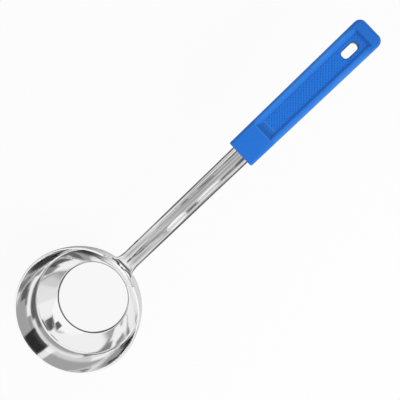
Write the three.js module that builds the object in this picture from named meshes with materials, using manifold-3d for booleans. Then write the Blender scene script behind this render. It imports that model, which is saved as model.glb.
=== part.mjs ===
// Portion ladle: a steel bowl and shank pressed in one piece, and a plastic grip moulded on the tang.
// Millimetres, +Z up. The origin is the centre of the bowl's flat underside, and the handle runs toward +X.
import * as THREE from 'three';
import { mergeVertices } from 'three/addons/utils/BufferGeometryUtils.js';
import Module from 'manifold-3d';

const wasm = await Module();
wasm.setup();

// Bowl
const SHEET = 1.2; // thickness of the pressed steel
const RIM_RADIUS = 48.5; // outside of the rim
const BOWL_DEPTH = 41; // inside, from the rim down to the floor
const FLOOR_RADIUS = 29.6; // floor inside the bowl, to the line where the skirt would meet it
const FLOOR_ROUND = 3.5; // radius of the turn from the floor into the skirt
const FLOOR_EDGE_SLOPE = 41; // degrees from level, where the skirt starts on the floor
const SKIRT_SLOPE = 53; // degrees from level, at the top of the skirt
const SHOULDER_ROUND = 10; // radius of the turn from the skirt into the wall
const SHOULDER_SLOPE = 72; // degrees from level, at the foot of the wall
const RIM_SLOPE = 89.5; // degrees from level, at the rim

// Neck, where the wall bends outward into the shank
const NECK_WIDTH = 33; // across the flare on the rim
const NECK_DROP = 4; // below the rim, where the bend starts on the centre line
const NECK_LENGTH = 13; // from the rim to the straight shank
const NECK_EASE = 0.75; // how strongly the bend holds to the wall on the centre line; 1 at the flare's edge

// Shank and its pressed section
const HANDLE_RISE = 8; // degrees above the plane of the rim
const SHANK_LENGTH = 124.5; // from the rim to the front of the grip
const SHANK_WIDTH = 14.2;
const PANEL_WIDTH = 6.2; // sunk panel along the middle
const PANEL_DEPTH = 0.7;
const PANEL_POINT = 0.8; // width of the panel where it starts
const PANEL_START = 6; // from the rim to the panel's point
const PANEL_OPEN = 30; // from the rim to where the point starts to widen
const PANEL_FULL = 50; // from the rim to the panel's full width
const PANEL_RAMP = 1; // slope on each side of the panel
const EDGE_WIDTH = 1.4; // edge that is rolled down along each side
const EDGE_DROP = 0.35;

// Tang inside the grip
const TANG_LENGTH = 78; // hidden length behind the front of the grip
const ANCHOR_RADIUS = 2.2; // holes in the tang that the plastic fills
const ANCHOR_FIRST = 24; // from the front of the grip to the first hole
const ANCHOR_PITCH = 36;
const ANCHOR_COUNT = 2;
const FIT = 0.3; // clearance between the tang and the plastic

// Grip
const GRIP_LENGTH = 112;
const GRIP_WIDTH = 21.2;
const GRIP_THICKNESS = 11.5;
const GRIP_EDGE = 2.2; // rounding along the long edges and the tail
const GRIP_TAIL_RADIUS = 4.6; // corners of the tail, seen from above
const TRAY_START = 20.6; // from the front of the grip to the sunk panel
const TRAY_LENGTH = 84.8;
const TRAY_WIDTH = 14.6;
const TRAY_DEPTH = 1.8;
const TRAY_RAMP = 2.9; // slope at the front of the panel
const TRAY_SIDE = 1.7; // slope along its sides and its back
const SLOT_CENTRE = 94.2; // from the front of the grip
const SLOT_LENGTH = 11.3;
const SLOT_WIDTH = 5.8;
const SLOT_CORNER = 2.5;

// Facets
const ROUND_COLUMNS = 58; // round the bowl, outside the neck
const FLOOR_ROUND_ROWS = 3;
const SKIRT_ROWS = 4;
const SHOULDER_ROWS = 4;
const WALL_ROWS = 6;
const NECK_ROWS = 7;
const POINT_ROWS = 7; // along the widening of the sunk panel
const TANG_ROWS = 5; // along the even part of the shank and tang
const ARC_STEPS = 8;
const HOLE_SIDES = 24;
const CUT_MARGIN = 2; // how far a cutting body reaches past the face that it opens

const { degToRad, lerp, smoothstep } = THREE.MathUtils;

// Sizes that follow from those above
const rimHeight = SHEET + BOWL_DEPTH;
const wallRadius = RIM_RADIUS - SHEET;
const neckAngle = Math.asin(NECK_WIDTH / 2 / wallRadius);
const shankHalf = SHANK_WIDTH / 2;
const tangEnd = SHANK_LENGTH + TANG_LENGTH;
const handleFrame = new THREE.Matrix4()
  .makeTranslation(wallRadius, 0, rimHeight)
  .multiply(new THREE.Matrix4().makeRotationY(-degToRad(HANDLE_RISE)));
const handleDirection = new THREE.Vector3(1, 0, 0).transformDirection(handleFrame);
const profile = bowlProfile();

// Inside profile of the bowl: floor, small round, skirt, shoulder and wall, all with even slopes.
// The radii of the skirt and of the wall are those that bring the last arc up to the rim.
function bowlProfile() {
  const [a, b, c, d] = [FLOOR_EDGE_SLOPE, SKIRT_SLOPE, SHOULDER_SLOPE, RIM_SLOPE].map(degToRad);
  const out = wallRadius - FLOOR_RADIUS - SHOULDER_ROUND * (Math.sin(c) - Math.sin(b));
  const up = BOWL_DEPTH - SHOULDER_ROUND * (Math.cos(b) - Math.cos(c));
  const skirtOut = Math.sin(b) - Math.sin(a);
  const skirtUp = Math.cos(a) - Math.cos(b);
  const wallOut = Math.sin(d) - Math.sin(c);
  const wallUp = Math.cos(c) - Math.cos(d);
  const scale = skirtOut * wallUp - skirtUp * wallOut;
  const skirtArc = (out * wallUp - up * wallOut) / scale;
  const wallArc = (up * skirtOut - out * skirtUp) / scale;
  const arcPoint = (start, radius, from, slope) => ({
    r: start.r + radius * (Math.sin(slope) - Math.sin(from)),
    z: start.z + radius * (Math.cos(from) - Math.cos(slope)),
    slope,
  });
  const floorEdge = { r: FLOOR_RADIUS, z: SHEET };
  // The small round touches the floor and the skirt, and takes the corner between them away.
  const roundTop = Math.acos((skirtArc * Math.cos(a) - FLOOR_ROUND) / (skirtArc - FLOOR_ROUND));
  const roundEnd = arcPoint(floorEdge, skirtArc, a, roundTop);
  const flatEdge = { r: roundEnd.r - FLOOR_ROUND * Math.sin(roundTop), z: SHEET };
  const skirtTop = arcPoint(floorEdge, skirtArc, a, b);
  const shoulderTop = arcPoint(skirtTop, SHOULDER_ROUND, b, c);
  return {
    flatRadius: flatEdge.r,
    floorRound: (t) => arcPoint(flatEdge, FLOOR_ROUND, 0, lerp(0, roundTop, t)),
    skirt: (t) => arcPoint(floorEdge, skirtArc, a, lerp(roundTop, b, t)),
    shoulder: (t) => arcPoint(skirtTop, SHOULDER_ROUND, b, lerp(b, c, t)),
    // The wall up to a given depth below the rim.
    wall: (t, depth) => {
      const top = Math.acos(Math.cos(c) - (rimHeight - depth - shoulderTop.z) / wallArc);
      return arcPoint(shoulderTop, wallArc, c, lerp(c, top, t));
    },
  };
}

// Half width of the sunk panel at a distance from the rim: a narrow groove that opens out.
function panelHalf(along) {
  return lerp(PANEL_POINT, PANEL_WIDTH, smoothstep(along, PANEL_OPEN, PANEL_FULL)) / 2;
}

// Points across half of the shank, from the middle to the edge, at the breaks of its section.
function halfStations(along) {
  const panel = panelHalf(along);
  const foot = panel + PANEL_RAMP;
  const edge = shankHalf - EDGE_WIDTH;
  const flange = (t) => lerp(foot, edge, t);
  const inner = [0, panel / 2, panel, (panel + foot) / 2, foot];
  const outer = [flange(1 / 3), flange(2 / 3), edge, (edge + shankHalf) / 2, shankHalf];
  return [...inner, ...outer];
}

// The same points across the whole shank, from its right edge to its left.
function stations(along) {
  const side = halfStations(along);
  return [...side.slice(1).reverse().map((y) => -y), ...side];
}

// Height of the shank's top face across its width: sunk panel, level flange, rolled edge.
function sectionHeight(along, across) {
  const panel = panelHalf(along);
  const sunk = PANEL_DEPTH * smoothstep(along, PANEL_START, PANEL_FULL);
  const ramp = smoothstep(Math.abs(across), panel, panel + PANEL_RAMP);
  const roll = Math.max(0, (Math.abs(across) - shankHalf + EDGE_WIDTH) / EDGE_WIDTH);
  return -sunk * (1 - ramp) - EDGE_DROP * roll ** 2;
}

// A point of the shank's top face in the handle's own frame.
function shankPoint(along, across) {
  return new THREE.Vector3(along, across, sectionHeight(along, across));
}

// A point on the inside of the bowl.
function bowlPoint({ r, z }, angle) {
  return new THREE.Vector3(r * Math.cos(angle), r * Math.sin(angle), z);
}

// Depth below the rim at which the wall starts to bend outward; none at the ends of the flare.
function bendDepth(share) {
  return NECK_DROP * (1 - share ** 2);
}

// Curves of the neck: each leaves the wall in the wall's own plane and runs out into the shank.
// On the centre line it rises straight up the wall, and at the edge of the flare it follows the rim.
function neckPoint(share, across, t) {
  const angle = share * neckAngle;
  const foot = profile.wall(1, bendDepth(share));
  const start = bowlPoint(foot, angle);
  const end = shankPoint(NECK_LENGTH, across).applyMatrix4(handleFrame);
  const up = new THREE.Vector3(Math.cos(angle), Math.sin(angle), 0)
    .multiplyScalar(Math.cos(foot.slope))
    .setZ(Math.sin(foot.slope));
  const inward = new THREE.Vector3(Math.abs(Math.sin(angle)), -Math.sign(share) * Math.cos(angle), 0);
  const turn = (Math.PI / 2) * Math.abs(share) ** 3;
  const reach = start.distanceTo(end);
  const hold = reach * lerp(NECK_EASE, 1, Math.abs(share) ** 3);
  const leave = up.multiplyScalar(Math.cos(turn)).addScaledVector(inward, Math.sin(turn));
  const [s, u] = [t * t, t * t * t];
  return start
    .multiplyScalar(2 * u - 3 * s + 1)
    .addScaledVector(leave, hold * (u - 2 * s + t))
    .addScaledVector(end, 3 * s - 2 * u)
    .addScaledVector(handleDirection, reach * (u - s));
}

// Distances along the shank of its rows of points, from the neck to the end of the tang.
function shankRows() {
  const widening = (i) => lerp(PANEL_OPEN, PANEL_FULL, i / POINT_ROWS);
  const even = (i) => lerp(PANEL_FULL, tangEnd, i / TANG_ROWS);
  const first = Array.from({ length: POINT_ROWS + 1 }, (_, i) => widening(i));
  const second = Array.from({ length: TANG_ROWS }, (_, i) => even(i + 1));
  return [...first, ...second];
}

// Top face of the whole sheet as points and triangles: floor, skirt, shoulder and wall round the bowl,
// and on the neck's columns on over the rim and along the shank.
function sheetFace() {
  const across = stations(NECK_LENGTH);
  const shares = across.map((y) => y / shankHalf);
  const roundStep = (2 * Math.PI - 2 * neckAngle) / ROUND_COLUMNS;
  const roundAngles = Array.from({ length: ROUND_COLUMNS - 1 }, (_, i) => neckAngle + (i + 1) * roundStep);
  const columns = [
    ...shares.map((share) => ({ angle: share * neckAngle, depth: bendDepth(share) })),
    ...roundAngles.map((angle) => ({ angle, depth: 0 })),
  ];
  const points = [new THREE.Vector3(0, 0, SHEET)];
  const faces = [];
  const addRow = (row) => {
    const first = points.length;
    points.push(...row);
    return row.map((_, i) => first + i);
  };
  const quad = (a, b, c, d) => faces.push([a, b, c], [a, c, d]);
  // Joins a row to the next one: round the bowl both close on themselves.
  const join = (low, high, closed) => {
    const last = closed ? low.length : low.length - 1;
    for (let i = 0; i < last; i++) {
      const next = (i + 1) % low.length;
      quad(low[i], high[i], high[next], low[next]);
    }
  };

  const evenRing = (place) => addRow(columns.map(({ angle }) => bowlPoint(place, angle)));
  const floorRadii = [profile.flatRadius / 2, profile.flatRadius - SHEET, profile.flatRadius];
  const rings = floorRadii.map((r) => evenRing({ r, z: SHEET }));
  const bands = [
    [profile.floorRound, FLOOR_ROUND_ROWS],
    [profile.skirt, SKIRT_ROWS],
    [profile.shoulder, SHOULDER_ROWS],
  ];
  for (const [band, rows] of bands) {
    for (let i = 1; i <= rows; i++) rings.push(evenRing(band(i / rows)));
  }
  for (let i = 1; i <= WALL_ROWS; i++) {
    const t = i / WALL_ROWS;
    rings.push(addRow(columns.map(({ angle, depth }) => bowlPoint(profile.wall(t, depth), angle))));
  }
  rings[0].forEach((point, i) => faces.push([0, point, rings[0][(i + 1) % columns.length]]));
  for (let i = 1; i < rings.length; i++) join(rings[i - 1], rings[i], true);

  let row = rings.at(-1).slice(0, across.length);
  const extend = (next) => {
    const added = addRow(next);
    join(row, added, false);
    row = added;
  };
  const neckColumn = (t) => shares.map((share, i) => neckPoint(share, across[i], t));
  for (let i = 1; i <= NECK_ROWS; i++) extend(neckColumn(i / NECK_ROWS));
  for (const along of shankRows()) {
    extend(stations(along).map((y) => shankPoint(along, y).applyMatrix4(handleFrame)));
  }
  return { points, faces };
}

// Closed solid between a face lifted by a distance and the same face that much thickness below.
function thicken({ points, faces }, lift, thickness) {
  const open = new THREE.BufferGeometry().setFromPoints(points);
  open.setIndex(faces.flat());
  open.computeVertexNormals();
  const normal = new THREE.Vector3();
  const offset = (distance) =>
    points.map((point, i) => {
      normal.fromBufferAttribute(open.attributes.normal, i);
      return point.clone().addScaledVector(normal, distance);
    });
  const count = points.length;
  const edges = new Set(faces.flatMap(([a, b, c]) => [`${a} ${b}`, `${b} ${c}`, `${c} ${a}`]));
  const walls = [];
  for (const edge of edges) {
    const [a, b] = edge.split(' ').map(Number);
    if (!edges.has(`${b} ${a}`)) walls.push([b, a, a + count], [b, a + count, b + count]);
  }
  const under = faces.map(([a, b, c]) => [a + count, c + count, b + count]);
  const solid = new THREE.BufferGeometry().setFromPoints([...offset(lift), ...offset(lift - thickness)]);
  solid.setIndex([...faces, ...under, ...walls].flat());
  return solid;
}

// Closed body between level outlines with the same number of points, stacked from low to high.
function loft(outlines) {
  const points = outlines.flat();
  const count = outlines[0].length;
  const faces = [];
  for (let level = 1; level < outlines.length; level++) {
    for (let i = 0; i < count; i++) {
      const [a, b] = [(level - 1) * count + i, (level - 1) * count + ((i + 1) % count)];
      faces.push([a, b, b + count], [a, b + count, a + count]);
    }
  }
  const top = points.length - count;
  for (let i = 2; i < count; i++) {
    faces.push([0, i, i - 1], [top, top + i - 1, top + i]);
  }
  const body = new THREE.BufferGeometry().setFromPoints(points);
  body.setIndex(faces.flat());
  return body;
}

function toSolid(geometry) {
  const bare = geometry.clone();
  bare.deleteAttribute('normal');
  bare.deleteAttribute('uv');
  const merged = mergeVertices(bare);
  return new wasm.Manifold(
    new wasm.Mesh({
      numProp: 3,
      vertProperties: new Float32Array(merged.attributes.position.array),
      triVerts: new Uint32Array(merged.index.array),
    }),
  );
}

function toGeometry(solid) {
  const { vertProperties, triVerts } = solid.getMesh();
  const geometry = new THREE.BufferGeometry();
  geometry.setAttribute('position', new THREE.BufferAttribute(vertProperties, 3));
  geometry.setIndex(new THREE.BufferAttribute(triVerts, 1));
  geometry.computeVertexNormals();
  return geometry;
}

// Rectangle with its own corner radius at each end, lying along X.
function roundedRectangle(x0, x1, width, nearRadius, farRadius) {
  const half = width / 2;
  return new THREE.Shape()
    .moveTo(x0 + nearRadius, -half)
    .lineTo(x1 - farRadius, -half)
    .absarc(x1 - farRadius, -half + farRadius, farRadius, -Math.PI / 2, 0)
    .absarc(x1 - farRadius, half - farRadius, farRadius, 0, Math.PI / 2)
    .lineTo(x0 + nearRadius, half)
    .absarc(x0 + nearRadius, half - nearRadius, nearRadius, Math.PI / 2, Math.PI)
    .absarc(x0 + nearRadius, -half + nearRadius, nearRadius, Math.PI, 1.5 * Math.PI);
}

// Upright pins on the anchor holes of the tang, in the handle's frame.
function anchorPins(radius) {
  const height = GRIP_THICKNESS - 2 * GRIP_EDGE;
  return Array.from({ length: ANCHOR_COUNT }, (_, i) =>
    toSolid(
      new THREE.CylinderGeometry(radius, radius, height, HOLE_SIDES)
        .rotateX(Math.PI / 2)
        .translate(SHANK_LENGTH + ANCHOR_FIRST + i * ANCHOR_PITCH, 0, 0),
    ),
  );
}

function steelGeometry() {
  const holes = anchorPins(ANCHOR_RADIUS).map((pin) => pin.transform(handleFrame.toArray()));
  const sheet = toSolid(thicken(sheetFace(), 0, SHEET));
  return toGeometry(holes.reduce((solid, hole) => solid.subtract(hole), sheet));
}

// Space that the tang takes in the grip: the shank's own section with a clearance all round.
function tangSpace() {
  const rows = [SHANK_LENGTH - CUT_MARGIN, tangEnd + FIT];
  const across = stations(SHANK_LENGTH).map((y) => y * ((shankHalf + FIT) / shankHalf));
  const heights = stations(SHANK_LENGTH).map((y) => sectionHeight(SHANK_LENGTH, y));
  const points = rows.flatMap((along) => across.map((y, i) => new THREE.Vector3(along, y, heights[i])));
  const faces = [];
  for (let i = 0; i + 1 < across.length; i++) {
    const [a, b] = [i, i + across.length];
    faces.push([a, b, b + 1], [a, b + 1, a + 1]);
  }
  const space = toSolid(thicken({ points, faces }, FIT, SHEET + 2 * FIT));
  return anchorPins(ANCHOR_RADIUS - FIT).reduce((solid, pin) => solid.subtract(pin), space);
}

// Grip in the handle's frame: edges rounded all along, front cut square, tray and hang slot sunk in.
function gripGeometry() {
  const middle = -(SHEET + PANEL_DEPTH) / 2;
  const [low, high] = [middle - GRIP_THICKNESS / 2, middle + GRIP_THICKNESS / 2];
  const [front, back] = [SHANK_LENGTH, SHANK_LENGTH + GRIP_LENGTH];
  const spare = 2 * GRIP_EDGE; // rounded front end, which the square cut takes off
  const outline = roundedRectangle(front - spare, back, GRIP_WIDTH, spare, GRIP_TAIL_RADIUS);
  const body = new THREE.ExtrudeGeometry(outline, {
    depth: GRIP_THICKNESS - 2 * GRIP_EDGE,
    bevelThickness: GRIP_EDGE,
    bevelSize: GRIP_EDGE,
    bevelOffset: -GRIP_EDGE,
    bevelSegments: ARC_STEPS / 2,
    curveSegments: ARC_STEPS,
  }).translate(0, 0, low + GRIP_EDGE);

  const frontCut = new THREE.BoxGeometry(2 * spare, 2 * GRIP_WIDTH, 2 * GRIP_THICKNESS)
    .translate(front - spare, 0, middle);

  // The tray's walls keep their slopes above the grip's top face, so the cut opens it cleanly.
  const trayLevel = (rise) => {
    const share = rise / TRAY_DEPTH;
    const half = TRAY_WIDTH / 2 - TRAY_SIDE * (1 - share);
    const x0 = front + TRAY_START + TRAY_RAMP * (1 - share);
    const x1 = front + TRAY_START + TRAY_LENGTH - TRAY_SIDE * (1 - share);
    const corners = [[x0, -half], [x1, -half], [x1, half], [x0, half]];
    return corners.map(([x, y]) => new THREE.Vector3(x, y, high - TRAY_DEPTH + rise));
  };
  const tray = loft([trayLevel(0), trayLevel(TRAY_DEPTH + CUT_MARGIN)]);

  const slotEnds = [front + SLOT_CENTRE - SLOT_LENGTH / 2, front + SLOT_CENTRE + SLOT_LENGTH / 2];
  const slotOutline = roundedRectangle(...slotEnds, SLOT_WIDTH, SLOT_CORNER, SLOT_CORNER);
  const slot = new THREE.ExtrudeGeometry(slotOutline, {
    depth: GRIP_THICKNESS + 2 * CUT_MARGIN,
    bevelEnabled: false,
    curveSegments: ARC_STEPS,
  }).translate(0, 0, low - CUT_MARGIN);

  const cuts = [frontCut, tray, slot].map(toSolid);
  cuts.push(tangSpace());
  return toGeometry(cuts.reduce((solid, cut) => solid.subtract(cut), toSolid(body)));
}

const steel = new THREE.MeshStandardMaterial({ color: 0xc8cacd, metalness: 1, roughness: 0.15 });
const bluePlastic = new THREE.MeshStandardMaterial({ color: 0x2b75d7, metalness: 0, roughness: 0.4 });

const ladle = new THREE.Group();
const bowlAndShank = new THREE.Mesh(steelGeometry(), steel);
bowlAndShank.name = 'steel_bowl_and_shank';
ladle.add(bowlAndShank);

const handle = new THREE.Group();
handle.position.set(wallRadius, 0, rimHeight);
handle.rotation.y = -degToRad(HANDLE_RISE);
const grip = new THREE.Mesh(gripGeometry(), bluePlastic);
grip.name = 'grip';
handle.add(grip);
ladle.add(handle);

export default ladle;
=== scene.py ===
"""Looks of the portion ladle: polished bowl, brushed shank and knurled blue grip on a white sweep."""
import math

import bpy
import numpy as np
from mathutils import Matrix, Vector
from mathutils.geometry import delaunay_2d_cdt


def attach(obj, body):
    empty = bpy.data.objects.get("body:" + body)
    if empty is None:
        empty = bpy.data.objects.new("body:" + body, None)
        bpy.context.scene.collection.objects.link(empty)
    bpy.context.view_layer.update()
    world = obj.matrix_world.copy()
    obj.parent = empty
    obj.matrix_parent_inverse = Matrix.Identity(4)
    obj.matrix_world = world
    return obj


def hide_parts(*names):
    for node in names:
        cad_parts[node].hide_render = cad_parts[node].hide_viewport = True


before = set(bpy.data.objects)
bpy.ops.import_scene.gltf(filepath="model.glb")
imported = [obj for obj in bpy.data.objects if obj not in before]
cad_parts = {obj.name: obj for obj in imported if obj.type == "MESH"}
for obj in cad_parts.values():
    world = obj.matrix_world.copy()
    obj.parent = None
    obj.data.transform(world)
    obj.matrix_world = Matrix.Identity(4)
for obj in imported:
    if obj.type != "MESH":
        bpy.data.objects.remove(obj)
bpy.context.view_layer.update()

# Bowl, in millimetres and degrees as the solids have it
MM = 0.001
SHEET = 1.2
RIM_RADIUS = 48.5
BOWL_DEPTH = 41
FLOOR_RADIUS = 29.6
FLOOR_ROUND = 3.5
FLOOR_EDGE_SLOPE = 41
SKIRT_SLOPE = 53
SHOULDER_ROUND = 10
SHOULDER_SLOPE = 72
RIM_SLOPE = 89.5

# Neck and shank
NECK_WIDTH = 33
NECK_DROP = 4
NECK_LENGTH = 13
NECK_EASE = 0.75
NECK_POWER = 3  # how late across the flare its columns turn along the rim
HANDLE_RISE = 8
SHANK_LENGTH = 124.5
SHANK_WIDTH = 14.2
PANEL_WIDTH = 6.2
PANEL_DEPTH = 0.7
PANEL_POINT = 0.8
PANEL_START = 6
PANEL_OPEN = 30
PANEL_FULL = 50
PANEL_RAMP = 1
EDGE_WIDTH = 1.4
EDGE_DROP = 0.35
TANG_LENGTH = 78
FIT = 0.3
EDGE_ROUND = 0.45  # round on the cut edges of the sheet
EDGE_SEGMENTS = 4
EDGE_ANGLE = 50  # least turn of a cut edge, in degrees

# Grip
GRIP_LENGTH = 112
GRIP_WIDTH = 21.2
GRIP_THICKNESS = 11.5
GRIP_EDGE = 2.2
GRIP_FRONT_ROUND = 0.5  # round on the edges of the square front
GRIP_TAIL_RADIUS = 4.6
TRAY_START = 20.6
TRAY_LENGTH = 84.8
TRAY_WIDTH = 14.6
TRAY_DEPTH = 1.8
TRAY_RAMP = 2.9
TRAY_SIDE = 1.7
TRAY_CORNER = 0.8  # corners of the sunk panel, seen from above
TRAY_LEDGE = 0.12  # flat strip along the panel's edge, as a share of its slope
SLOT_CENTRE = 94.2
SLOT_LENGTH = 11.3
SLOT_WIDTH = 5.8
SLOT_CORNER = 2.5
SLOT_ROUND = 0.7  # round on the slot's edges

# Knurl on the sunk panel: rows of small diamonds
KNURL_ANGLE = 47  # of its grooves to the handle
KNURL_PITCH = 1.7
KNURL_HEIGHT = 0.36
KNURL_FLAT = 0.6  # share of each slope that is left below the diamonds' flat tops
KNURL_CROSS = 0.4  # depth of one set of grooves as a share of the other's
KNURL_START = 26.6  # from the front of the grip
KNURL_MARGIN = 0.5  # plain strip along the panel's edge and the slot
KNURL_STEP = 0.25

# Mesh steps
ROUND_COLUMNS = 180
FLOOR_ROWS = 4
BLEND_ROWS = 8
SKIRT_ROWS = 30
SHOULDER_ROWS = 16
WALL_ROWS = 30
NECK_ROWS = 28
ROW_STEP = 0.75
PANEL_STEPS = 10
RAMP_STEPS = 6
FLANGE_STEPS = 8
EDGE_STEPS = 6
CORNER_STEPS = 8
LONG_STEPS = 160
END_STEPS = 24
SLOT_STEPS = 20
SLOPE_STEPS = 10
FLAT_SPACING = 1e-5  # closest that two points of a flat fill may lie

# Photograph: 400 pixels square, and where its camera stood
PHOTO_SIZE = 400
CAMERA_PIXELS = 540  # focal length in pixels
CAMERA_SCALE = 0.7501  # millimetres per pixel in the plane of the rim's centre
CAMERA_TILT = 8.21  # degrees from the bowl's axis toward the handle
CAMERA_SIDE = -1.42  # degrees from the handle's plane
CAMERA_ROLL = 43.32
RIM_PIXEL = (-124.03, 111.31)  # rim's centre from the middle of the picture, right and down
SENSOR = 36
CAMERA_NEAR = 0.01  # metres

# Studio: what the steel reflects, and the level of the soft light
SOFT_LIGHT = 0.62
KEY_PLACE = (0.25, -0.75, 0.7)  # metres, on the right of the handle
KEY_AIM = (0.15, 0, 0.05)
KEY_SIZE = 0.5
KEY_POWER = 9
FLOOR_SIZE = 6  # metres
FLOOR_GAP = 1e-4  # metres below the bowl, so that the two faces don't coincide
FLOOR_PAPER = 0.62
FLOOR_ROUGHNESS = 0.9
FLOOR_WHITE = 0.93  # share of plain white that the eye sees in the floor
GAP_FROM = 31  # grey gap between the overhead panel and the white walls, lean from overhead
GAP_TO = 49
GAP_EDGE = 2
GAP_LIGHT = 0.4
FLAG_EDGE = 0.1  # softness, as a share of a flag's half sizes
COUNT_MARGIN = 0.5  # between whole numbers of reflections
# Flags and cards, by the fewest and the most reflections that show them:
# turn from the handle, lean from overhead, half sizes of both, share of light left
FLAGS = {
    (1, 1): (
        (0, 37, 150, 17, 0.2),
        (180, 40, 28, 9, 2.5),
        (157, 74, 12, 6, 0.12),
        (-157, 74, 12, 6, 0.12),
        (-5, 69, 6, 5, 0.1),
        (180, 60, 32, 6, 0.15),
    ),
    (2, 2): (
        (-7, 44, 17.5, 11, 0.06),
        (16, 41, 5.5, 8, 2.3),
        (50, 51.5, 27, 3, 0.7),
        (80, 57.7, 24, 3.4, 0.87),
        (-84, 43, 11, 3.5, 0.3),
        (-73, 48, 11, 1.8, 0.45),
        (-106, 50.5, 6, 2.5, 0.35),
        (-48, 28.8, 22, 3, 0.12),
        (-12, 26.5, 20, 3, 0.25),
        (-32, 51.5, 12, 2.8, 0.35),
        (36, 29, 13, 2, 0.3),
        (51, 20, 8, 1.3, 0.45),
        (160, 66.1, 14, 1.8, 0.05),
        (192, 50, 12, 8.5, 0.12),
        (155, 48, 15, 15, 0.12),
        (136, 34, 34, 17, 0.12),
    ),
    (3, 3): (
        (93, 44, 58, 5, 0.4),
        (80, 51.5, 45, 3, 0.13),
        (-95, 27, 14, 4, 0.15),
        (-95, 20, 14, 3, 0.4),
        (-48, 31, 36, 16, 0.1),
        (-72, 50.5, 8, 1.3, 0.12),
        (0, 44, 10, 7, 2.4),
    ),
    (4, 4): (
        (10, 43, 18, 9, 0.12),
        (-9, 37.5, 14, 4.5, 0.12),
        (-8, 49.5, 10, 3, 0.2),
        (-12, 27, 12, 4, 0.2),
    ),
    (5, 9): (
        (0, 46, 9, 8, 2.4),
    ),
}

# Steel: mirror finish in the bowl, drawn finish along the shank
MIRROR = 0.93
MIRROR_ROUGHNESS = 0.06
DRAWN_FROM = 2  # from the rim, where the drawn finish starts and where it is full
DRAWN_TO = 14
DRAWN_FLANGE = 0.57
DRAWN_LEFT = 0.75  # painted lighter flange on the left of the full panel
DRAWN_PANEL = 0.45
DRAWN_RAMP = 0.33  # painted dark reflections along the panel's sides
# painted shade on the rolled edges
DRAWN_EDGE = 0.55
DRAWN_ROUGHNESS = 0.22
# Painted reflections, highlights and shade on the neck and shank: along and across at both ends, half width,
# share of light left
REFLECTION_MARKS = (
    (2.3, 10.8, 2.2, 5.6, 0.7, 0.3),
    (2.2, 6, 1, 2.2, 1, 0.06),
    (0.8, 1.4, 1.2, -1.4, 0.9, 0.06),
    (1.2, -1.2, 2, -3.2, 0.7, 0.3),
    (3.7, -6, 2.7, -10, 0.7, 0.25),
    (8, 0.4, 13.5, 0.5, 0.5, 0.15),
    (14, 0.4, 18.5, 0.3, 0.45, 0.2),
    (15.5, 6.6, 21, 6.7, 0.5, 0.6),
    (21.5, 6.7, 27, 6.7, 0.6, 0.35),
    (44, 6.6, 92, 6.5, 0.6, 0.85),
    (40, 4.7, 84, 4.4, 0.35, 0.8),
    (78, 5.2, 128, 5, 0.35, 0.7),
    (111, 3.3, 128, 3.3, 0.4, 0.35),
    (68, 3.2, 76, 3, 0.45, 0.35),
    (85, 3.2, 101, 2.3, 0.5, 0.4),
    (66, -3.2, 81, -3.3, 0.7, 0.5),
    (98, -3.1, 114, -3.1, 0.4, 0.4),
    (115, -3.3, 130, -3.2, 0.8, 0.4),
    (22, -6.1, 110, -5.8, 0.5, 0.5),
    (48, -3.1, 68, -3.2, 1.9, 2.7),
    (78, -3.2, 102, -3.1, 1.2, 2.6),
)
STREAK = 0.3  # how far the drawing lines vary the tone
STREAK_LOW = 0.3  # part of the noise that makes the lines
STREAK_HIGH = 0.7
STREAK_STRETCH = 0.02
STREAK_SCALE = 900

# Grip plastic
PLASTIC_BLUE = (0.006, 0.14, 0.57)
PLASTIC_ROUGHNESS = 0.38
PLASTIC_SPECULAR = 0.35
SPECKLE_SCALE = 700
SPECKLE = 0.06
GRAIN = 0.08
# Painted light and shade on the plastic, as shares of its colour: sides, rails, slopes and floor of the
# panel, tail, slot
SIDE_SHADE = 0.8
LEFT_RAIL_LIGHT = 1.1
RIGHT_RAIL_LIGHT = 1.03
FRONT_SHADE = 0.75
BACK_SHADE = 0.8
LEFT_SHADE = 0.88
RIGHT_SHADE = 1.75
PLAIN_SHADE = 0.82
TAIL_SHADE = 0.88
SLOT_SHADE = 0.3
# Painted sheen and highlights on the plastic: their pale colour, and its share on the rails, slopes and
# edges
SHEEN_BLUE = (0.35, 0.75, 0.9, 1)
RAIL_SHEEN = 0.04
LEFT_SLOPE_SHEEN = 0.03
RIGHT_SLOPE_SHEEN = 0.1
RIDGE_HIGHLIGHT = 0.14
START_HIGHLIGHT = 0.12
START_REACH = 0.6  # half width of the painted highlight line where the knurl starts
GLINT_SHEEN = 0.06
GLINT_PLACE = 80  # brightest painted glint on the rails, from the front of the grip, and how far it fades
GLINT_REACH = 9


def smoothstep(value, low, high):
    t = np.clip((value - low) / (high - low), 0, 1)
    return t * t * (3 - 2 * t)


def lerp(a, b, t):
    return a + (b - a) * t


rim_height = SHEET + BOWL_DEPTH
wall_radius = RIM_RADIUS - SHEET
neck_angle = math.asin(NECK_WIDTH / 2 / wall_radius)
shank_half = SHANK_WIDTH / 2
rise = math.radians(HANDLE_RISE)
along_axis = np.array((math.cos(rise), 0, math.sin(rise)))
across_axis = np.array((0, 1, 0))
height_axis = np.array((-math.sin(rise), 0, math.cos(rise)))
handle_root = np.array((wall_radius, 0, rim_height))


def handle_point(along, across, height):
    """Points of the handle's own frame in the part's frame."""
    along, across, height = (np.asarray(v, float)[..., None] for v in (along, across, height))
    return handle_root + along * along_axis + across * across_axis + height * height_axis


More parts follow.
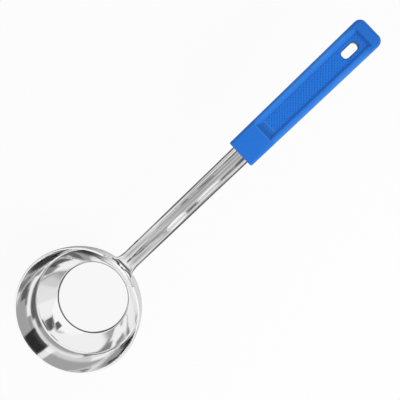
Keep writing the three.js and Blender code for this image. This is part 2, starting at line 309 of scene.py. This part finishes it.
class BowlProfile:
    """Inside of the bowl: flat floor, small round, skirt, shoulder and wall, all with even slopes."""

    def __init__(self):
        slopes = (FLOOR_EDGE_SLOPE, SKIRT_SLOPE, SHOULDER_SLOPE, RIM_SLOPE)
        a, b, c, d = (math.radians(v) for v in slopes)
        out = wall_radius - FLOOR_RADIUS - SHOULDER_ROUND * (math.sin(c) - math.sin(b))
        up = BOWL_DEPTH - SHOULDER_ROUND * (math.cos(b) - math.cos(c))
        skirt_out, skirt_up = math.sin(b) - math.sin(a), math.cos(a) - math.cos(b)
        wall_out, wall_up = math.sin(d) - math.sin(c), math.cos(c) - math.cos(d)
        scale = skirt_out * wall_up - skirt_up * wall_out
        self.skirt_arc = (out * wall_up - up * wall_out) / scale
        self.wall_arc = (up * skirt_out - out * skirt_up) / scale
        self.edge_slope, self.skirt_slope, self.shoulder_slope = a, b, c
        turned = (self.skirt_arc * math.cos(a) - FLOOR_ROUND) / (self.skirt_arc - FLOOR_ROUND)
        self.blend_slope = math.acos(turned)
        self.flat_radius = self.skirt(self.blend_slope)[0] - FLOOR_ROUND * math.sin(self.blend_slope)
        self.skirt_top = self.skirt(b)
        self.shoulder_top = self.shoulder(c)

    @staticmethod
    def arc(start, radius, first, slope):
        r = start[0] + radius * (np.sin(slope) - math.sin(first))
        return r, start[1] + radius * (math.cos(first) - np.cos(slope))

    def blend(self, slope):
        return self.arc((self.flat_radius, SHEET), FLOOR_ROUND, 0, slope)

    def skirt(self, slope):
        return self.arc((FLOOR_RADIUS, SHEET), self.skirt_arc, self.edge_slope, slope)

    def shoulder(self, slope):
        return self.arc(self.skirt_top, SHOULDER_ROUND, self.skirt_slope, slope)

    def wall(self, slope):
        return self.arc(self.shoulder_top, self.wall_arc, self.shoulder_slope, slope)

    def slope_at(self, depth):
        """Slope of the wall at a depth below the rim."""
        height = rim_height - depth - self.shoulder_top[1]
        return np.arccos(math.cos(self.shoulder_slope) - height / self.wall_arc)


profile = BowlProfile()


def panel_half(along):
    return lerp(PANEL_POINT, PANEL_WIDTH, smoothstep(along, PANEL_OPEN, PANEL_FULL)) / 2


def stations(along):
    """Points across the shank, right edge to left, close together at the breaks of its section."""
    panel = float(panel_half(along))
    breaks = (0, panel, panel + PANEL_RAMP, shank_half - EDGE_WIDTH, shank_half)
    steps = (PANEL_STEPS, RAMP_STEPS, FLANGE_STEPS, EDGE_STEPS)
    parts = [np.linspace(a, b, n, endpoint=False) for a, b, n in zip(breaks, breaks[1:], steps)]
    side = np.concatenate(parts + [[shank_half]])
    return np.concatenate((-side[:0:-1], side))


def section_height(along, across):
    """Height of the shank's top face: sunk panel, level flange, rolled edge."""
    panel = panel_half(along)
    sunk = PANEL_DEPTH * smoothstep(along, PANEL_START, PANEL_FULL)
    ramp = smoothstep(np.abs(across), panel, panel + PANEL_RAMP)
    roll = np.maximum(0, (np.abs(across) - shank_half + EDGE_WIDTH) / EDGE_WIDTH)
    return -sunk * (1 - ramp) - EDGE_DROP * roll**2


def section_tone(along, across):
    """Tone of the drawn finish across the shank, with painted dark lines along the panel's sides, a painted
    lighter left flange and painted shade on the rolled edges.
    """
    panel = panel_half(along)
    side = np.abs(across)
    ramp = smoothstep(side, panel - PANEL_RAMP / 2, panel + PANEL_RAMP / 2)
    line = 1 - np.clip(np.abs(side - panel - PANEL_RAMP / 2) / PANEL_RAMP * 2, 0, 1)
    line *= smoothstep(along, PANEL_OPEN, SHANK_LENGTH)
    left = smoothstep(along, PANEL_OPEN, PANEL_FULL) * (across > 0)
    tone = lerp(DRAWN_PANEL, lerp(DRAWN_FLANGE, DRAWN_LEFT, left), ramp)
    tone = lerp(tone, DRAWN_EDGE, smoothstep(side, shank_half - EDGE_WIDTH, shank_half))
    return lerp(tone, DRAWN_RAMP, line)


def reflection_mark_tone(along, across):
    """Share of light left by the painted reflections, highlights and shade on the steel."""
    tone = np.ones_like(along)
    for along_0, across_0, along_1, across_1, half, left in REFLECTION_MARKS:
        run, side = along_1 - along_0, across_1 - across_0
        t = np.clip(((along - along_0) * run + (across - across_0) * side) / (run**2 + side**2), 0, 1)
        away = np.hypot(along - lerp(along_0, along_1, t), across - lerp(across_0, across_1, t))
        width = half * np.sqrt(1 - (2 * t - 1) ** 2)
        tone *= lerp(left, 1, smoothstep(away, width - half / 2, width + half / 2))
    return tone


def round_points(r, z, angle):
    r, z, angle = np.broadcast_arrays(r, z, angle)
    return np.stack((r * np.cos(angle), r * np.sin(angle), z), -1)


def neck_rows(shares, across):
    """Rows of the neck: each column leaves the wall in the wall's own plane and runs out into the shank."""
    angle = shares * neck_angle
    slope = profile.slope_at(NECK_DROP * (1 - shares**2))
    start = round_points(*profile.wall(slope), angle)
    end = handle_point(np.full_like(across, NECK_LENGTH), across, section_height(NECK_LENGTH, across))
    up = np.stack((np.cos(angle) * np.cos(slope), np.sin(angle) * np.cos(slope), np.sin(slope)), -1)
    inward = np.stack((np.abs(np.sin(angle)), -np.sign(shares) * np.cos(angle), 0 * angle), -1)
    flare = np.abs(shares) ** NECK_POWER
    turn = (math.pi / 2 * flare)[:, None]
    leave = up * np.cos(turn) + inward * np.sin(turn)
    reach = np.linalg.norm(end - start, axis=1)[:, None]
    hold = reach * lerp(NECK_EASE, 1, flare)[:, None]
    for t in np.linspace(0, 1, NECK_ROWS + 1)[1:]:
        s, u = t**2, t**3
        yield (
            start * (2 * u - 3 * s + 1)
            + leave * hold * (u - 2 * s + t)
            + end * (3 * s - 2 * u)
            + along_axis * reach * (u - s)
        )


def new_object(name, points, faces, material):
    """A smooth mesh object from points in millimetres."""
    mesh = bpy.data.meshes.new(name)
    mesh.from_pydata((np.asarray(points) * MM).tolist(), [], faces)
    mesh.update()
    mesh.polygons.foreach_set("use_smooth", [True] * len(mesh.polygons))
    mesh.materials.append(material)
    obj = bpy.data.objects.new(name, mesh)
    bpy.context.scene.collection.objects.link(obj)
    return obj


def paint(obj, name, values):
    """A value on each point of a mesh, for its material."""
    layer = obj.data.attributes.new(name, "FLOAT", "POINT")
    layer.data.foreach_set("value", np.asarray(values, np.float32))


def bowl_rings(angles, depths):
    """Rings of the bowl's inside from the floor up to the rim, or to the bend of the neck."""
    rings = [round_points(r, SHEET, angles) for r in np.linspace(0, profile.flat_radius, FLOOR_ROWS + 1)[1:]]
    bands = (
        (profile.blend, 0, profile.blend_slope, BLEND_ROWS),
        (profile.skirt, profile.blend_slope, profile.skirt_slope, SKIRT_ROWS),
        (profile.shoulder, profile.skirt_slope, profile.shoulder_slope, SHOULDER_ROWS),
    )
    for band, low, high, rows in bands:
        rings += [round_points(*band(slope), angles) for slope in np.linspace(low, high, rows + 1)[1:]]
    top_slope = profile.slope_at(depths)
    for t in np.linspace(0, 1, WALL_ROWS + 1)[1:]:
        rings.append(round_points(*profile.wall(lerp(profile.shoulder_slope, top_slope, t)), angles))
    return rings


def build_steel(material):
    """The pressed sheet: rings round the bowl, then rows over the neck and along the shank."""
    across = stations(NECK_LENGTH)
    shares = across / shank_half
    round_angles = np.linspace(neck_angle, 2 * math.pi - neck_angle, ROUND_COLUMNS + 1)[1:-1]
    angles = np.concatenate((shares * neck_angle, round_angles))
    depths = np.concatenate((NECK_DROP * (1 - shares**2), 0 * round_angles))
    rings = bowl_rings(angles, depths)
    count = len(angles)
    faces = [(0, 1 + i, 1 + (i + 1) % count) for i in range(count)]
    for ring in range(1, len(rings)):
        low, high = 1 + (ring - 1) * count, 1 + ring * count
        for i in range(count):
            j = (i + 1) % count
            faces.append((low + i, high + i, high + j, low + j))

    rows = list(neck_rows(shares, across))
    tang_end = SHANK_LENGTH + TANG_LENGTH
    row_count = math.ceil((tang_end - NECK_LENGTH) / ROW_STEP)
    for along in np.linspace(NECK_LENGTH, tang_end, row_count + 1)[1:]:
        y = stations(along)
        rows.append(handle_point(np.full_like(y, along), y, section_height(along, y)))
    low, high = 1 + (len(rings) - 1) * count, 1 + len(rings) * count
    for _ in rows:
        faces += [(low + i, high + i, high + i + 1, low + i + 1) for i in range(len(across) - 1)]
        low, high = high, high + len(across)

    points = np.concatenate([[[0, 0, SHEET]]] + rings + rows)
    steel = new_object("steel_bowl_and_shank_skin", points, faces, material)
    along = (points - handle_root) @ along_axis
    outside = np.hypot(points[:, 0], points[:, 1]) > wall_radius
    paint(steel, "drawn", np.where(outside, smoothstep(along, DRAWN_FROM, DRAWN_TO), 0))
    # drawn tone with painted dark lines, a painted lighter left flange and painted shade on the edges
    paint(steel, "tone", section_tone(along, points[:, 1]))
    handle = np.arange(len(points)) > len(rings) * count
    # painted reflections, highlights and shade on the neck and shank
    paint(steel, "painted_reflection", np.where(handle, reflection_mark_tone(along, points[:, 1]), 1))
    wall = steel.modifiers.new("sheet", "SOLIDIFY")
    wall.thickness = SHEET * MM
    wall.offset = -1
    wall.use_even_offset = True
    edge = steel.modifiers.new("edge", "BEVEL")
    edge.width = EDGE_ROUND * MM
    edge.segments = EDGE_SEGMENTS
    edge.limit_method = "ANGLE"
    edge.angle_limit = math.radians(EDGE_ANGLE)
    return steel


def inside(place, loop):
    """Whether a flat point lies inside a closed loop."""
    odd = False
    x, y = place
    for (x0, y0), (x1, y1) in zip(loop, loop[1:] + loop[:1]):
        if (y0 > y) != (y1 > y) and x < x0 + (y - y0) * (x1 - x0) / (y1 - y0):
            odd = not odd
    return odd


class Skin:
    """Points and faces of a closed surface in the handle's frame, gathered ring by ring."""

    def __init__(self):
        self.points = []
        self.faces = []
        self.shades = []
        self.sheen = []

    def add(self, loop, height, shade=1, sheen=0):
        """A ring of flat points at one height, with its painted shade and painted sheen; gives its point
        numbers.
        """
        return self.add_points([(x, y, height) for x, y in loop], shade, sheen)

    def add_points(self, points, shade=1, sheen=0):
        first = len(self.points)
        self.points.extend(points)
        self.shades.extend(np.broadcast_to(shade, len(points)))
        self.sheen.extend(np.broadcast_to(sheen, len(points)))
        return list(range(first, len(self.points)))

    def join(self, low, high, skip=()):
        """Quads between two closed rings with the same number of points."""
        for i in range(len(low)):
            j = (i + 1) % len(low)
            if i not in skip:
                self.faces.append((low[i], low[j], high[j], high[i]))

    def join_all(self, rings):
        for low, high in zip(rings, rings[1:]):
            self.join(low, high)

    def fill(self, plane, outer, hole, extra=()):
        """Triangles between a ring and a hole in it, seen in the plane of two axes, over further points."""
        numbers = outer + hole + list(extra)
        flat = [Vector([self.points[i][axis] for axis in plane]) for i in numbers]
        edges = []
        for first, ring in ((0, outer), (len(outer), hole)):
            edges += [(first + i, first + (i + 1) % len(ring)) for i in range(len(ring))]
        _, _, triangles, origin, _, _ = delaunay_2d_cdt(flat, edges, [], 0, FLAT_SPACING)
        hole_numbers = set(hole)
        hole_loop = [tuple(v) for v in flat[len(outer) : len(outer) + len(hole)]]
        for triangle in triangles:
            places = [origin[v][0] for v in triangle]
            corners = [numbers[v] for v in places]
            middle = (flat[places[0]] + flat[places[1]] + flat[places[2]]) / 3
            if not (hole_numbers.issuperset(corners) and inside(middle, hole_loop)):
                self.faces.append(corners)


def rounded_loop(x0, x1, half, near, far, long_steps=LONG_STEPS, end_steps=END_STEPS):
    """Rectangle along X with round corners, from its back right corner round to the left and the front."""
    corners = (
        (x1 - far, far - half, far, -90),
        (x1 - far, half - far, far, 0),
        (x0 + near, half - near, near, 90),
        (x0 + near, near - half, near, 180),
    )
    arcs = []
    for x, y, radius, start in corners:
        turn = np.radians(start + np.linspace(0, 90, CORNER_STEPS + 1))
        arcs.append(np.stack((x + radius * np.cos(turn), y + radius * np.sin(turn)), -1))
    loop = []
    for arc, following, steps in zip(arcs, arcs[1:] + arcs[:1], (end_steps, long_steps) * 2):
        loop.append(arc)
        loop.append(np.linspace(arc[-1], following[0], steps + 1)[1:-1])
    return np.concatenate(loop)


def knurl_height(x, y):
    """Height of the diamonds between two sets of crossing grooves."""
    angle = math.radians(KNURL_ANGLE)
    one = (x * math.sin(angle) + y * math.cos(angle)) / KNURL_PITCH
    two = (x * math.sin(angle) - y * math.cos(angle)) / KNURL_PITCH
    cross, main = (np.minimum(1, (1 - np.abs(2 * (v - np.floor(v)) - 1)) / KNURL_FLAT) for v in (one, two))
    return KNURL_HEIGHT * main * lerp(1, cross, KNURL_CROSS)


grip_middle = -(SHEET + PANEL_DEPTH) / 2
grip_low = grip_middle - GRIP_THICKNESS / 2
grip_high = grip_middle + GRIP_THICKNESS / 2


def land_finish(x, y):
    """Shares of colour and painted sheen along the top of the grip: plain block, rails with a painted sheen
    and glint, tail in painted shade.
    """
    back = TRAY_START + TRAY_LENGTH
    rail = smoothstep(x, TRAY_START, TRAY_START + GRIP_EDGE) * smoothstep(x, back, back - GLINT_REACH)
    glint = 1 - smoothstep(np.abs(x - GLINT_PLACE), 0, GLINT_REACH)
    # painted sheen on the rails, strongest at the glint
    sheen = lerp(RAIL_SHEEN, GLINT_SHEEN, glint) * rail
    tail = lerp(1, TAIL_SHADE, smoothstep(x, back - GLINT_REACH, back))
    # painted light on the rails and painted shade on the tail
    shade = lerp(1, np.where(y > 0, LEFT_RAIL_LIGHT, RIGHT_RAIL_LIGHT), rail) * tail
    return shade, sheen


def grip_ring(skin, inset, height):
    """Outline of the grip at one height; its front edges have a smaller round than the others."""
    r = GRIP_FRONT_ROUND
    over = max(0, height - grip_high + r, grip_low + r - height)
    lead = r - math.sqrt(r**2 - over**2)
    tail = GRIP_TAIL_RADIUS - inset
    loop = rounded_loop(lead, GRIP_LENGTH - inset, GRIP_WIDTH / 2 - inset, r, tail)
    shade, sheen = land_finish(*loop.T)
    upper = smoothstep(height, grip_high - GRIP_EDGE, grip_high)
    # painted shade on the right side below the top round, the land's painted light and sheen above
    side = np.where(loop[:, 1] > 0, 1, SIDE_SHADE)
    return skin.add(loop, height, lerp(side, shade, upper), sheen * upper)


def tray_ring(skin, share):
    """Outline of the sunk panel, from its edge down the slopes round it to its floor."""
    x0 = TRAY_START + TRAY_RAMP * share
    x1 = TRAY_START + TRAY_LENGTH - TRAY_SIDE * share
    half = TRAY_WIDTH / 2 - TRAY_SIDE * share
    loop = rounded_loop(x0, x1, half, TRAY_CORNER, TRAY_CORNER)
    x, y = loop.T
    front, back = x < x0 + TRAY_CORNER, x > x1 - TRAY_CORNER
    if share <= 0:
        shade, sheen = land_finish(x, y)
        # on the edge: the land's painted light and sheen, and a painted highlight along the panel's front
        # edge
        return skin.add(loop, grip_high, shade, np.where((share == 0) & front, RIDGE_HIGHLIGHT, sheen))
    left, up = y > 0, max(0, 1 - share)
    # painted shade on the front, back and left slopes, painted light at the top of the right slope, painted
    # sheen on the left slope and the top of the right one
    shade = np.select((front, back, left), (FRONT_SHADE, BACK_SHADE, LEFT_SHADE), lerp(1, RIGHT_SHADE, up))
    sheen = np.select((front | back, left), (0, LEFT_SLOPE_SHEEN), RIGHT_SLOPE_SHEEN * up)
    return skin.add(loop, grip_high - TRAY_DEPTH * min(share, 1), shade, sheen)


def slot_ring(skin, grow, height):
    x0 = SLOT_CENTRE - SLOT_LENGTH / 2 - grow
    x1 = SLOT_CENTRE + SLOT_LENGTH / 2 + grow
    corner = SLOT_CORNER + grow
    loop = rounded_loop(x0, x1, SLOT_WIDTH / 2 + grow, corner, corner, SLOT_STEPS, SLOT_STEPS // 2)
    open_share = grow / SLOT_ROUND
    # painted shade in the slot, fading to the tail's painted shade at its lip
    return skin.add(loop, height, lerp(SLOT_SHADE, TAIL_SHADE, open_share))


def tray_grid(skin):
    """Knurled points of the sunk panel's floor, clear of its edge and of the slot."""
    x0 = TRAY_START + TRAY_RAMP + KNURL_MARGIN
    x1 = TRAY_START + TRAY_LENGTH - TRAY_SIDE - KNURL_MARGIN
    half = TRAY_WIDTH / 2 - TRAY_SIDE - KNURL_MARGIN
    x, y = np.meshgrid(np.arange(x0, x1, KNURL_STEP), np.arange(-half, half, KNURL_STEP))
    reach = SLOT_ROUND + KNURL_MARGIN
    clear = (np.abs(x - SLOT_CENTRE) > SLOT_LENGTH / 2 + reach) | (np.abs(y) > SLOT_WIDTH / 2 + reach)
    x, y = x[clear], y[clear]
    heights = grip_high - TRAY_DEPTH + np.where(x > KNURL_START, knurl_height(x, y), 0)
    # painted shade on the plain strip before the knurl and towards the tail
    shade = lerp(PLAIN_SHADE, 1, smoothstep(x, KNURL_START - KNURL_PITCH, KNURL_START + KNURL_PITCH))
    shade *= lerp(1, TAIL_SHADE, smoothstep(x, SLOT_CENTRE, SLOT_CENTRE + SLOT_LENGTH))
    # painted highlight along the line where the knurl starts
    line = 1 - smoothstep(np.abs(x - KNURL_START), 0, START_REACH)
    return skin.add_points(list(zip(x.tolist(), y.tolist(), heights.tolist())), shade, START_HIGHLIGHT * line)


def tang_ring(skin, along):
    """Opening round the tang: the shank's section with the clearance round it."""
    y = stations(SHANK_LENGTH)
    height = section_height(SHANK_LENGTH, y)
    wide = y * (shank_half + FIT) / shank_half
    top = [(along, a, b) for a, b in zip(wide, height + FIT)]
    under = [(along, a, b) for a, b in zip(wide, height - SHEET - FIT)]
    return skin.add_points(top + under[::-1])


def build_grip(material):
    """The moulded grip: rings up its rounded sides, over the land and down to the knurled panel and slot."""
    skin = Skin()
    turns = np.radians(np.linspace(0, 90, SLOPE_STEPS + 1))
    edge = GRIP_EDGE
    bottom = [grip_ring(skin, edge * (1 - math.sin(t)), grip_low + edge * (1 - math.cos(t))) for t in turns]
    top = [grip_ring(skin, edge * (1 - math.cos(t)), grip_high - edge * (1 - math.sin(t))) for t in turns]
    front_start = 3 * CORNER_STEPS + END_STEPS + LONG_STEPS
    front = range(front_start, front_start + END_STEPS)
    skin.join_all(bottom)
    skin.join(bottom[-1], top[0], skip=front)
    skin.join_all(top)

    shares = (-TRAY_LEDGE, *np.linspace(0, 1, SLOPE_STEPS + 1), 1 + TRAY_LEDGE)
    tray = [tray_ring(skin, share) for share in shares]
    skin.join_all([top[-1]] + tray)
    floor = grip_high - TRAY_DEPTH
    lip = SLOT_ROUND
    slot = [slot_ring(skin, lip * (1 - math.sin(t)), floor - lip * (1 - math.cos(t))) for t in turns]
    slot += [slot_ring(skin, lip * (1 - math.cos(t)), grip_low + lip * (1 - math.sin(t))) for t in turns]
    skin.join_all(slot)
    skin.fill((0, 1), tray[-1], slot[0], tray_grid(skin))
    skin.fill((1, 0), bottom[0], slot[-1])

    mouth, pocket_end = tang_ring(skin, 0), tang_ring(skin, TANG_LENGTH + FIT)
    low_edge = [bottom[-1][i] for i in (*front, front.stop)]
    high_edge = [top[0][i] for i in (front.stop, *front[::-1])]
    skin.fill((2, 1), low_edge + high_edge, mouth)
    skin.join(mouth, pocket_end)
    skin.faces.append(tuple(pocket_end))
    x, y, z = np.array(skin.points).T
    grip = new_object("grip_skin", handle_point(x + SHANK_LENGTH, y, z), skin.faces, material)
    paint(grip, "shade", skin.shades)
    paint(grip, "sheen", skin.sheen)
    return grip


def node_material(name):
    material = bpy.data.materials.new(name)
    material.use_nodes = True
    return material, material.node_tree, material.node_tree.nodes["Principled BSDF"]


# Sockets of a Mix node: its factor, both ends and result
MIX_SOCKETS = {"FLOAT": (0, 2, 3, 0), "RGBA": (0, 6, 7, 2)}


def feed(tree, sockets, values):
    """Links a socket or writes a value into each input."""
    for socket, value in zip(sockets, values):
        if isinstance(value, bpy.types.NodeSocket):
            tree.links.new(value, socket)
        else:
            socket.default_value = value


def math_node(tree, operation, *values):
    """A Math node of these numbers or sockets; gives its output."""
    node = tree.nodes.new("ShaderNodeMath")
    node.operation = operation
    feed(tree, node.inputs, values)
    return node.outputs[0]


def fade(tree, value, low, high, from_value=0, to_value=1):
    """A smooth step of a socket from one value to another."""
    node = tree.nodes.new("ShaderNodeMapRange")
    node.interpolation_type = "SMOOTHSTEP"
    tree.links.new(value, node.inputs["Value"])
    node.inputs["From Min"].default_value = low
    node.inputs["From Max"].default_value = high
    node.inputs["To Min"].default_value = from_value
    node.inputs["To Max"].default_value = to_value
    return node.outputs["Result"]


def blend(tree, factor, low, high, kind="FLOAT"):
    """One number, colour or socket fading into another."""
    node = tree.nodes.new("ShaderNodeMix")
    node.data_type = kind
    *ends, result = MIX_SOCKETS[kind]
    feed(tree, [node.inputs[i] for i in ends], (factor, low, high))
    return node.outputs[result]


def painted(tree, name):
    node = tree.nodes.new("ShaderNodeAttribute")
    node.attribute_name = name
    return node.outputs["Fac"]


def noise(tree, vector, scale):
    node = tree.nodes.new("ShaderNodeTexNoise")
    node.inputs["Scale"].default_value = scale
    tree.links.new(vector, node.inputs["Vector"])
    return node.outputs["Fac"]


def handle_lines(tree):
    """Noise drawn out along the handle."""
    place = tree.nodes.new("ShaderNodeTexCoord")
    turned = tree.nodes.new("ShaderNodeMapping")
    turned.inputs["Rotation"].default_value = (0, rise, 0)
    tree.links.new(place.outputs["Object"], turned.inputs["Vector"])
    stretched = tree.nodes.new("ShaderNodeMapping")
    stretched.inputs["Scale"].default_value = (STREAK_STRETCH, 1, 1)
    tree.links.new(turned.outputs[0], stretched.inputs["Vector"])
    return noise(tree, stretched.outputs[0], STREAK_SCALE)


def steel_material():
    """Polished in the bowl, drawn along the shank, where the tone follows the pressed section, with painted
    dark lines, reflections and highlights.
    """
    material, tree, shader = node_material("polished_steel")
    drawn = painted(tree, "drawn")
    streak = fade(tree, handle_lines(tree), STREAK_LOW, STREAK_HIGH, 1 - STREAK, 1 + STREAK)
    tone = math_node(tree, "MULTIPLY", painted(tree, "tone"), streak)
    grey = tree.nodes.new("ShaderNodeCombineColor")
    shade = math_node(tree, "MULTIPLY", blend(tree, drawn, MIRROR, tone), painted(tree, "painted_reflection"))
    shade = math_node(tree, "MINIMUM", shade, MIRROR)
    for socket in grey.inputs:
        tree.links.new(shade, socket)
    tree.links.new(grey.outputs[0], shader.inputs["Base Color"])
    tree.links.new(blend(tree, drawn, MIRROR_ROUGHNESS, DRAWN_ROUGHNESS), shader.inputs["Roughness"])
    shader.inputs["Metallic"].default_value = 1
    return material


def plastic_material():
    """Satin blue plastic with a faint grain, with the painted shade, painted light and painted sheen of the
    grip.
    """
    material, tree, shader = node_material("blue_plastic")
    place = tree.nodes.new("ShaderNodeTexCoord")
    grain = noise(tree, place.outputs["Object"], SPECKLE_SCALE)
    dark, light = ([v * share for v in PLASTIC_BLUE] + [1] for share in (1 - SPECKLE, 1 + SPECKLE))
    shaded = tree.nodes.new("ShaderNodeVectorMath")
    shaded.operation = "SCALE"
    tree.links.new(blend(tree, grain, dark, light, "RGBA"), shaded.inputs[0])
    # painted shade and light scale the colour; painted sheen blends it towards a pale blue
    tree.links.new(painted(tree, "shade"), shaded.inputs["Scale"])
    with_sheen = blend(tree, painted(tree, "sheen"), shaded.outputs[0], SHEEN_BLUE, "RGBA")
    tree.links.new(with_sheen, shader.inputs["Base Color"])
    bump = tree.nodes.new("ShaderNodeBump")
    bump.inputs["Strength"].default_value = GRAIN
    bump.inputs["Distance"].default_value = MM
    tree.links.new(grain, bump.inputs["Height"])
    tree.links.new(bump.outputs[0], shader.inputs["Normal"])
    satin = fade(tree, grain, 0, 1, PLASTIC_ROUGHNESS * (1 - SPECKLE), PLASTIC_ROUGHNESS * (1 + SPECKLE))
    tree.links.new(satin, shader.inputs["Roughness"])
    shader.inputs["Specular IOR Level"].default_value = PLASTIC_SPECULAR
    return material


def seen_ray(tree):
    """One for rays from the camera, and one for rays from a mirror or glass."""
    path = tree.nodes.new("ShaderNodeLightPath")
    mirror = math_node(tree, "MAXIMUM", path.outputs["Is Glossy Ray"], path.outputs["Is Transmission Ray"])
    return path.outputs["Is Camera Ray"], mirror


def build_floor():
    """White sweep under the part: mostly plain white to the eye, with the part's faint shadow."""
    material, tree, paper = node_material("white_floor")
    paper.inputs["Base Color"].default_value = (FLOOR_PAPER, FLOOR_PAPER, FLOOR_PAPER, 1)
    paper.inputs["Roughness"].default_value = FLOOR_ROUGHNESS
    white = tree.nodes.new("ShaderNodeEmission")
    mix = tree.nodes.new("ShaderNodeMixShader")
    tree.links.new(math_node(tree, "MULTIPLY", seen_ray(tree)[0], FLOOR_WHITE), mix.inputs["Fac"])
    tree.links.new(paper.outputs[0], mix.inputs[1])
    tree.links.new(white.outputs[0], mix.inputs[2])
    tree.links.new(mix.outputs[0], tree.nodes["Material Output"].inputs["Surface"])
    mesh = bpy.data.meshes.new("floor")
    half = FLOOR_SIZE / 2
    corners = [(x, y, -FLOOR_GAP) for x, y in ((-half, -half), (half, -half), (half, half), (-half, half))]
    mesh.from_pydata(corners, [], [(0, 1, 2, 3)])
    mesh.materials.append(material)
    floor = bpy.data.objects.new("floor", mesh)
    bpy.context.scene.collection.objects.link(floor)


def flag_shade(tree, turn, lean, shown, flag):
    """Share of light that a flag leaves, from one outside it to its own share inside, where it is shown."""
    flag_turn, flag_lean, half_turn, half_lean, left = flag
    aside = math_node(tree, "SUBTRACT", turn, math.radians(flag_turn))
    aside = math_node(tree, "WRAP", aside, math.pi, -math.pi)
    aside = math_node(tree, "ABSOLUTE", math_node(tree, "DIVIDE", aside, math.radians(half_turn)))
    apart = math_node(tree, "SUBTRACT", lean, math.radians(flag_lean))
    apart = math_node(tree, "ABSOLUTE", math_node(tree, "DIVIDE", apart, math.radians(half_lean)))
    shade = fade(tree, math_node(tree, "MAXIMUM", aside, apart), 1 - FLAG_EDGE, 1 + FLAG_EDGE, left, 1)
    return blend(tree, shown, 1, shade)


def studio_pattern(tree):
    """What polished steel sees round it: a white room with a grey gap and dark flags between its lights."""
    place = tree.nodes.new("ShaderNodeTexCoord")
    split = tree.nodes.new("ShaderNodeSeparateXYZ")
    tree.links.new(place.outputs["Generated"], split.inputs[0])
    x, y, z = split.outputs
    turn = math_node(tree, "ARCTAN2", y, x)
    lean = math_node(tree, "ARCCOSINE", z)
    gap_middle = math.radians((GAP_FROM + GAP_TO) / 2)
    gap_half = math.radians((GAP_TO - GAP_FROM) / 2)
    soft = math.radians(GAP_EDGE)
    aside = math_node(tree, "ABSOLUTE", math_node(tree, "SUBTRACT", lean, gap_middle))
    light = fade(tree, aside, gap_half - soft, gap_half + soft, GAP_LIGHT, 1)
    path = tree.nodes.new("ShaderNodeLightPath")
    reflections = math_node(tree, "SUBTRACT", path.outputs["Ray Depth"], 1)  # the world counts one more
    for (fewest, most), flags in FLAGS.items():
        enough = math_node(tree, "GREATER_THAN", reflections, fewest - COUNT_MARGIN)
        few = math_node(tree, "LESS_THAN", reflections, most + COUNT_MARGIN)
        shown = math_node(tree, "MULTIPLY", enough, few)
        for flag in flags:
            light = math_node(tree, "MULTIPLY", light, flag_shade(tree, turn, lean, shown, flag))
    return light


def build_world():
    world = bpy.data.worlds.new("studio")
    bpy.context.scene.world = world
    world.use_nodes = True
    tree = world.node_tree
    background = tree.nodes["Background"]
    background.inputs["Color"].default_value = (1, 1, 1, 1)
    camera, mirror = seen_ray(tree)
    seen = math_node(tree, "MULTIPLY_ADD", mirror, studio_pattern(tree), camera)
    other = math_node(tree, "SUBTRACT", 1, math_node(tree, "MAXIMUM", camera, mirror))
    level = math_node(tree, "MULTIPLY_ADD", other, SOFT_LIGHT, seen)
    tree.links.new(level, background.inputs["Strength"])


def build_key():
    """Soft lamp on the right of the handle, which shades the grip; mirrors show the studio instead."""
    data = bpy.data.lights.new("key", "AREA")
    data.size = KEY_SIZE
    data.energy = KEY_POWER
    key = bpy.data.objects.new("key", data)
    key.location = KEY_PLACE
    key.rotation_euler = (Vector(KEY_PLACE) - Vector(KEY_AIM)).to_track_quat("Z", "Y").to_euler()
    key.visible_glossy = False
    bpy.context.scene.collection.objects.link(key)


def build_camera():
    """The photograph's camera, from the tilt, turn and distance that lay the rim and handle over it."""
    tilt, side, roll = (math.radians(v) for v in (CAMERA_TILT, CAMERA_SIDE, CAMERA_ROLL))
    view = Vector((math.sin(tilt) * math.cos(side), math.sin(side), math.cos(tilt) * math.cos(side)))
    level = Vector((1, 0, 0))
    level = (level - view * level.dot(view)).normalized()
    upright = view.cross(level)
    right = level * math.cos(roll) - upright * math.sin(roll)
    up = level * math.sin(roll) + upright * math.cos(roll)
    shift_right, shift_down = RIM_PIXEL
    rim_centre = Vector((0, 0, rim_height))
    place = rim_centre + CAMERA_SCALE * (view * CAMERA_PIXELS - right * shift_right + up * shift_down)
    data = bpy.data.cameras.new("photo_camera")
    data.sensor_width = SENSOR
    data.lens = SENSOR * CAMERA_PIXELS / PHOTO_SIZE
    data.clip_start = CAMERA_NEAR
    camera = bpy.data.objects.new("photo_camera", data)
    camera.matrix_world = Matrix.Translation(place * MM) @ Matrix((right, up, view)).transposed().to_4x4()
    bpy.context.scene.collection.objects.link(camera)
    bpy.context.scene.camera = camera


pieces = (
    (build_steel, steel_material, "steel_bowl_and_shank", "polished_steel"),
    (build_grip, plastic_material, "grip", "blue_plastic"),
)
for build, make_material, node, slot in pieces:
    piece = build(make_material())
    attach(piece, "root")
    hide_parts(node)

build_floor()
build_world()
build_key()
build_camera()
bpy.context.scene.view_settings.view_transform = "Standard"
